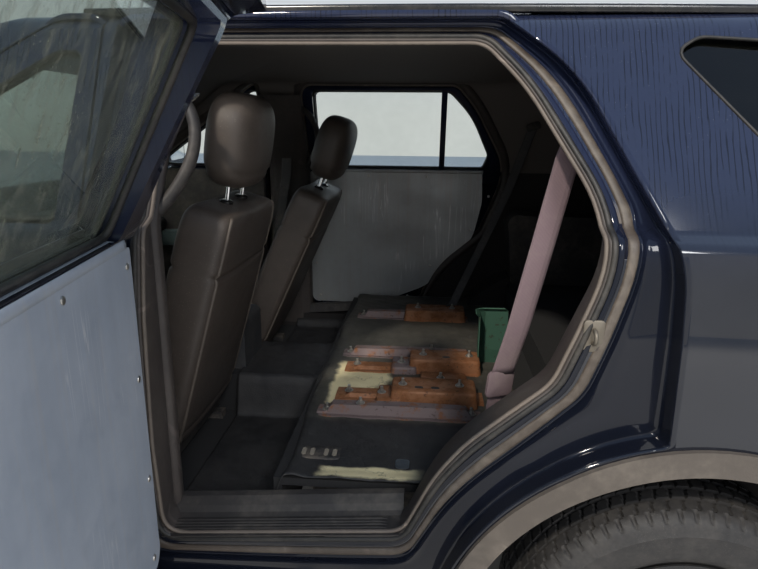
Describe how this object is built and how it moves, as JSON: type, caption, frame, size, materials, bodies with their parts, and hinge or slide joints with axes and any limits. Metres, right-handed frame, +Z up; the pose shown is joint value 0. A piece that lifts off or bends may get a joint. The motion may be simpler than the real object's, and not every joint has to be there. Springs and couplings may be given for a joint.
{
  "type": "police suv",
  "caption": "Large police SUV with hinged doors, bonnet and tailgate, steered front wheels, a rear cabin bare of its seat, and metal inner panels on the rear doors.",
  "frame": {"origin": "on the floor in the centre plane, midway between the axles", "axes": "-X forward, -Y the vehicle's left, +Z up"},
  "size_m": [5.0088, 3.2827, 1.7561],
  "materials": {
    "paint": "deep gloss",
    "bumper_paint": "gloss over plastic",
    "black_plastic": "fine grain",
    "trim": "grained",
    "floor_vinyl": "worn vinyl",
    "seat": "worn, creased",
    "belt": "woven webbing",
    "bracket": "rusty",
    "panel": "brushed, scratched",
    "glass": "tinted, dusty",
    "lamp": "clear lens",
    "tail_lamp": "red lens",
    "tyre": "dusty",
    "wheel": "satin black",
    "chassis": "satin black",
    "engine": "dull",
    "tank": "moulded",
    "exhaust": "heat tinted"
  },
  "bodies": {
    "body": {"body_shell": "paint", "floor_pan": "floor_vinyl", "front_fenders": "paint", "front_bumper": "bumper_paint", "grille": "black_plastic", "headlamps": "lamp", "tail_lamps": "tail_lamp", "fixed_glass": "glass", "rear_bumper": "bumper_paint", "dashboard": "trim", "front_seats": "seat", "rear_belts": "belt", "seat_brackets": "bracket", "pillar_trim": "trim", "engine": "engine", "fuel_tank": "tank", "exhaust": "exhaust", "arch_cladding": "black_plastic", "front_subframe": "chassis", "rear_axle": "chassis"},
    "bonnet": {"bonnet": "paint"},
    "tailgate": {"tailgate": "paint", "tailgate_glass": "glass"},
    "steering_wheel": {"steering_wheel": "black_plastic"},
    "front_door_left": {"front_door_left": "paint", "front_glass_left": "glass", "mirror_left": "black_plastic"},
    "rear_door_left": {"rear_door_left": "paint", "rear_glass_left": "glass", "security_panel_left": "panel"},
    "knuckle_front_left": {"knuckle_front_left": "chassis"},
    "wheel_front_left": {"tyre_front_left": "tyre", "rim_front_left": "wheel"},
    "wheel_rear_left": {"tyre_rear_left": "tyre", "rim_rear_left": "wheel"},
    "front_door_right": {"front_door_right": "paint", "front_glass_right": "glass", "mirror_right": "black_plastic"},
    "rear_door_right": {"rear_door_right": "paint", "rear_glass_right": "glass", "security_panel_right": "panel"},
    "knuckle_front_right": {"knuckle_front_right": "chassis"},
    "wheel_front_right": {"tyre_front_right": "tyre", "rim_front_right": "wheel"},
    "wheel_rear_right": {"tyre_rear_right": "tyre", "rim_rear_right": "wheel"}
  },
  "joints": [
    {"name": "steer_left", "type": "hinge", "parent": "body", "child": "knuckle_front_left", "pos_m": [-1.4325, -0.768, 0.209], "axis": [0, 0.2049, 0.9788], "range_deg": [-33, 33]},
    {"name": "roll_front_left", "type": "hinge", "parent": "knuckle_front_left", "child": "wheel_front_left", "pos_m": [-1.4325, -0.851, 0.363], "axis": [0, 1, 0], "continuous": true},
    {"name": "roll_rear_left", "type": "hinge", "parent": "body", "child": "wheel_rear_left", "pos_m": [1.4325, -0.851, 0.363], "axis": [0, 1, 0], "continuous": true},
    {"name": "front_door_left_hinge", "type": "hinge", "parent": "body", "child": "front_door_left", "pos_m": [-0.74, -0.97, 0.8], "axis": [0, 0, -1], "range_deg": [0, 70]},
    {"name": "rear_door_left_hinge", "type": "hinge", "parent": "body", "child": "rear_door_left", "pos_m": [0.206, -0.97, 0.8], "axis": [0, 0, -1], "range_deg": [-80, 0]},
    {"name": "steer_right", "type": "hinge", "parent": "body", "child": "knuckle_front_right", "pos_m": [-1.4325, 0.768, 0.209], "axis": [0, -0.2049, 0.9788], "range_deg": [-33, 33]},
    {"name": "roll_front_right", "type": "hinge", "parent": "knuckle_front_right", "child": "wheel_front_right", "pos_m": [-1.4325, 0.851, 0.363], "axis": [0, 1, 0], "continuous": true},
    {"name": "roll_rear_right", "type": "hinge", "parent": "body", "child": "wheel_rear_right", "pos_m": [1.4325, 0.851, 0.363], "axis": [0, 1, 0], "continuous": true},
    {"name": "front_door_right_hinge", "type": "hinge", "parent": "body", "child": "front_door_right", "pos_m": [-0.74, 0.97, 0.8], "axis": [0, 0, 1], "range_deg": [0, 70]},
    {"name": "rear_door_right_hinge", "type": "hinge", "parent": "body", "child": "rear_door_right", "pos_m": [0.206, 0.97, 0.8], "axis": [0, 0, 1], "range_deg": [0, 80]},
    {"name": "steering_wheel_turn", "type": "hinge", "parent": "body", "child": "steering_wheel", "pos_m": [-0.268, -0.39, 0.985], "axis": [0.9063, 0, 0.4226], "range_deg": [-528, 528]},
    {"name": "bonnet_hinge", "type": "hinge", "parent": "body", "child": "bonnet", "pos_m": [-0.934, 0, 1.175], "axis": [0, 1, 0], "range_deg": [0, 55]},
    {"name": "tailgate_hinge", "type": "hinge", "parent": "body", "child": "tailgate", "pos_m": [2.278, 0, 1.681], "axis": [0, -1, 0], "range_deg": [0, 80]}
  ],
  "couplings": [
    {"joint": "steer_right", "follows": "steer_left", "ratio": 1},
    {"joint": "steering_wheel_turn", "follows": "steer_left", "ratio": 16}
  ]
}
